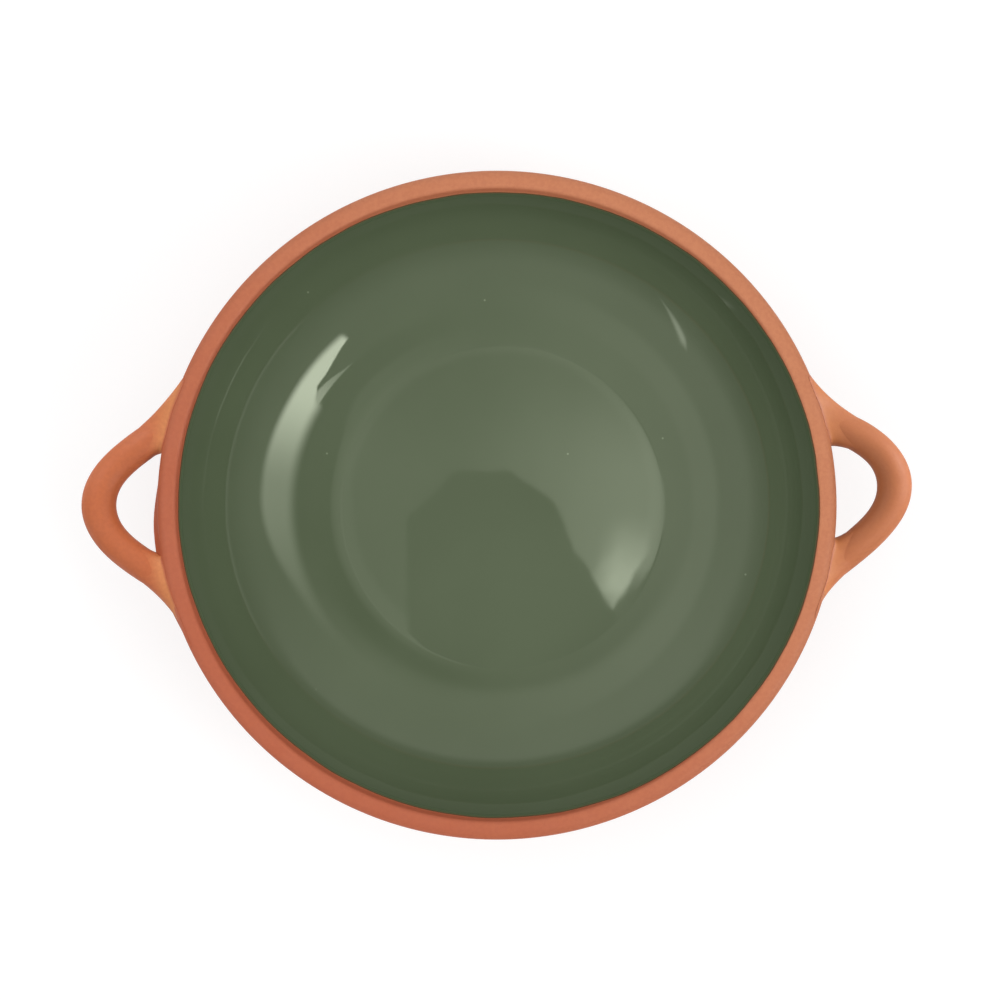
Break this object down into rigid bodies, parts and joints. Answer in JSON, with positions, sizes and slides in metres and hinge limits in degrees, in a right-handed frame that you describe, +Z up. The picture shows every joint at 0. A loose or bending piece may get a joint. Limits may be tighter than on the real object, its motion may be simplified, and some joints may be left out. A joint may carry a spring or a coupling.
{
  "type": "tapas dish",
  "caption": "Round, shallow earthenware dish with bare clay outside, a glazed inside, a flat lip, a low foot and loop handles for serving small hot dishes at the table.",
  "frame": {"origin": "middle of the foot, on the table", "axes": "+X along the two handles, to the right in the picture; +Y to the back, up in the picture; +Z up"},
  "size_m": [0.245, 0.2, 0.043],
  "materials": {
    "clay": "bare fired earthenware, dry and matt",
    "slip": "fired slip, smoothed by hand, matt",
    "glaze": "glossy olive green glaze"
  },
  "bodies": {
    "root": {"bowl_body": "clay", "glaze_lining": "glaze", "handle_left": "clay", "handle_right": "clay", "slip_left_back": "slip", "slip_left_front": "slip", "slip_right_back": "slip", "slip_right_front": "slip"}
  },
  "joints": []
}
